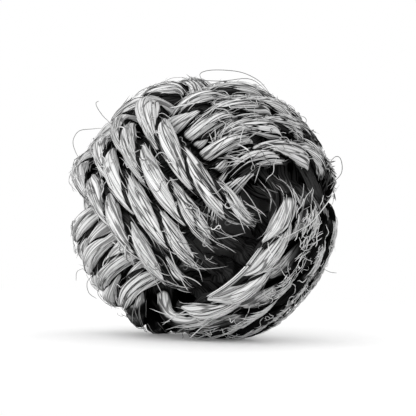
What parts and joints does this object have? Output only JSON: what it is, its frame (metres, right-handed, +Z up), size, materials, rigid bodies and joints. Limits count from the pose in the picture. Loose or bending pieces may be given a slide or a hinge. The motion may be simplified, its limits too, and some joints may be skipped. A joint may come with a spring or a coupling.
{
  "type": "monkey fist knot",
  "caption": "Ball-shaped rope knot wound in three crossing bands of parallel turns round a hidden core ball, used as the weighted end of a heaving line or as a decoration",
  "frame": {"origin": "centre of the overall box in X and Y, at the bottom of the knot, where it is cut flat to stand on the floor", "axes": "+Z is up, and -Y is the side that the picture was taken from, so +X is the picture's right"},
  "size_m": [0.0958, 0.0988, 0.0939],
  "materials": {
    "rope_fibre": "matte",
    "dark_ball": "matte"
  },
  "bodies": {
    "root": {"rope": "rope_fibre", "core_ball": "dark_ball"}
  },
  "joints": []
}
